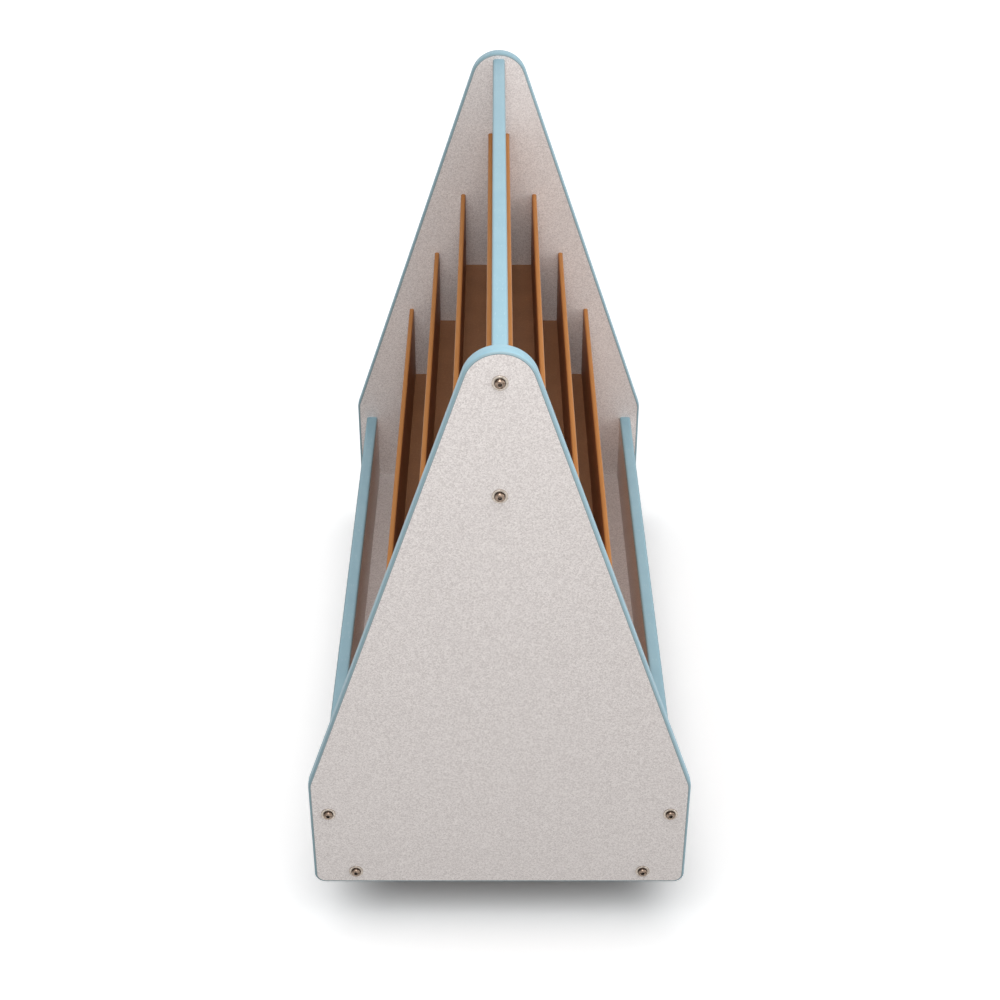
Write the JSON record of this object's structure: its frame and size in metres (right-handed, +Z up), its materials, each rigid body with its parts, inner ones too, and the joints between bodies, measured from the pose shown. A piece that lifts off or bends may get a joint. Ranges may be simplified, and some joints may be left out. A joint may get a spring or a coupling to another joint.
{
  "type": "mobile book display stand",
  "caption": "Two-sided stepped book display stand: tapered end panels, centre rail, hardboard tiers and low side lips, on swivel casters with brake pedals.",
  "frame": {"origin": "on the floor under the middle of the stand", "axes": "+Z up, +Y along the stand from the near end panel to the far one, +X across it to the right seen from the near end"},
  "size_m": [0.4208, 0.8474, 0.7423],
  "materials": {
    "laminate": "grey speckled laminate on particle board, satin",
    "edge_band": "light blue plastic edge band, satin",
    "hardboard": "tempered brown hardboard, smooth",
    "bolt_metal": "warm nickel plate, worn bright",
    "washer_metal": "nickel plate, satin",
    "zinc_steel": "bright zinc plate",
    "dowel_wood": "fluted beech",
    "caster_nylon": "black moulded nylon",
    "wheel_nylon": "black moulded nylon, scuffed tread",
    "pedal_nylon": "dark grey moulded nylon"
  },
  "bodies": {
    "stand": {"base_board": "laminate", "caster_kingpins": "zinc_steel", "caster_screws": "zinc_steel", "centre_rail": "laminate", "centre_rail_bands": "edge_band", "far_end_band": "edge_band", "far_end_bolts": "bolt_metal", "far_end_dowels": "dowel_wood", "far_end_nuts": "zinc_steel", "far_end_panel": "laminate", "far_end_washers": "washer_metal", "far_left_caster_plate": "zinc_steel", "far_right_caster_plate": "zinc_steel", "left_lip": "laminate", "left_lip_bands": "edge_band", "left_tier_back_1": "hardboard", "left_tier_back_2": "hardboard", "left_tier_back_3": "hardboard", "left_tier_back_4": "hardboard", "left_tier_floor_2": "hardboard", "left_tier_floor_3": "hardboard", "near_end_band": "edge_band", "near_end_bolts": "bolt_metal", "near_end_dowels": "dowel_wood", "near_end_nuts": "zinc_steel", "near_end_panel": "laminate", "near_end_washers": "washer_metal", "near_left_caster_plate": "zinc_steel", "near_right_caster_plate": "zinc_steel", "right_lip": "laminate", "right_lip_bands": "edge_band", "right_tier_back_1": "hardboard", "right_tier_back_2": "hardboard", "right_tier_back_3": "hardboard", "right_tier_back_4": "hardboard", "right_tier_floor_2": "hardboard", "right_tier_floor_3": "hardboard", "top_tier_floor": "hardboard"},
    "near_left_caster": {"near_left_brake_pin": "zinc_steel", "near_left_caster_axle": "zinc_steel", "near_left_caster_hood": "caster_nylon"},
    "near_left_left_wheel": {"near_left_caster_left_wheel": "wheel_nylon"},
    "near_left_right_wheel": {"near_left_caster_right_wheel": "wheel_nylon"},
    "near_left_pedal": {"near_left_brake_pedal": "pedal_nylon"},
    "near_right_caster": {"near_right_brake_pin": "zinc_steel", "near_right_caster_axle": "zinc_steel", "near_right_caster_hood": "caster_nylon"},
    "near_right_left_wheel": {"near_right_caster_left_wheel": "wheel_nylon"},
    "near_right_right_wheel": {"near_right_caster_right_wheel": "wheel_nylon"},
    "near_right_pedal": {"near_right_brake_pedal": "pedal_nylon"},
    "far_left_caster": {"far_left_caster_axle": "zinc_steel", "far_left_caster_hood": "caster_nylon"},
    "far_left_left_wheel": {"far_left_caster_left_wheel": "wheel_nylon"},
    "far_left_right_wheel": {"far_left_caster_right_wheel": "wheel_nylon"},
    "far_right_caster": {"far_right_caster_axle": "zinc_steel", "far_right_caster_hood": "caster_nylon"},
    "far_right_left_wheel": {"far_right_caster_left_wheel": "wheel_nylon"},
    "far_right_right_wheel": {"far_right_caster_right_wheel": "wheel_nylon"}
  },
  "joints": [
    {"name": "near_left_swivel", "type": "hinge", "parent": "stand", "child": "near_left_caster", "pos_m": [-0.12975, -0.3312, 0.06], "axis": [0, 0, 1], "continuous": true},
    {"name": "near_left_left_wheel_spin", "type": "hinge", "parent": "near_left_caster", "child": "near_left_left_wheel", "pos_m": [-0.12975, -0.3072, 0.025], "axis": [1, 0, 0], "continuous": true},
    {"name": "near_left_right_wheel_spin", "type": "hinge", "parent": "near_left_caster", "child": "near_left_right_wheel", "pos_m": [-0.12975, -0.3072, 0.025], "axis": [1, 0, 0], "continuous": true},
    {"name": "near_left_brake_press", "type": "hinge", "parent": "near_left_caster", "child": "near_left_pedal", "pos_m": [-0.12975, -0.29043, 0.03764], "axis": [-1, 0, 0], "range_deg": [0, 7]},
    {"name": "near_right_swivel", "type": "hinge", "parent": "stand", "child": "near_right_caster", "pos_m": [0.12975, -0.3312, 0.06], "axis": [0, 0, 1], "continuous": true},
    {"name": "near_right_left_wheel_spin", "type": "hinge", "parent": "near_right_caster", "child": "near_right_left_wheel", "pos_m": [0.12975, -0.3072, 0.025], "axis": [1, 0, 0], "continuous": true},
    {"name": "near_right_right_wheel_spin", "type": "hinge", "parent": "near_right_caster", "child": "near_right_right_wheel", "pos_m": [0.12975, -0.3072, 0.025], "axis": [1, 0, 0], "continuous": true},
    {"name": "near_right_brake_press", "type": "hinge", "parent": "near_right_caster", "child": "near_right_pedal", "pos_m": [0.12975, -0.29043, 0.03764], "axis": [-1, 0, 0], "range_deg": [0, 7]},
    {"name": "far_left_swivel", "type": "hinge", "parent": "stand", "child": "far_left_caster", "pos_m": [-0.12975, 0.3312, 0.06], "axis": [0, 0, 1], "continuous": true},
    {"name": "far_left_left_wheel_spin", "type": "hinge", "parent": "far_left_caster", "child": "far_left_left_wheel", "pos_m": [-0.12975, 0.3552, 0.025], "axis": [1, 0, 0], "continuous": true},
    {"name": "far_left_right_wheel_spin", "type": "hinge", "parent": "far_left_caster", "child": "far_left_right_wheel", "pos_m": [-0.12975, 0.3552, 0.025], "axis": [1, 0, 0], "continuous": true},
    {"name": "far_right_swivel", "type": "hinge", "parent": "stand", "child": "far_right_caster", "pos_m": [0.12975, 0.3312, 0.06], "axis": [0, 0, 1], "continuous": true},
    {"name": "far_right_left_wheel_spin", "type": "hinge", "parent": "far_right_caster", "child": "far_right_left_wheel", "pos_m": [0.12975, 0.3552, 0.025], "axis": [1, 0, 0], "continuous": true},
    {"name": "far_right_right_wheel_spin", "type": "hinge", "parent": "far_right_caster", "child": "far_right_right_wheel", "pos_m": [0.12975, 0.3552, 0.025], "axis": [1, 0, 0], "continuous": true}
  ]
}
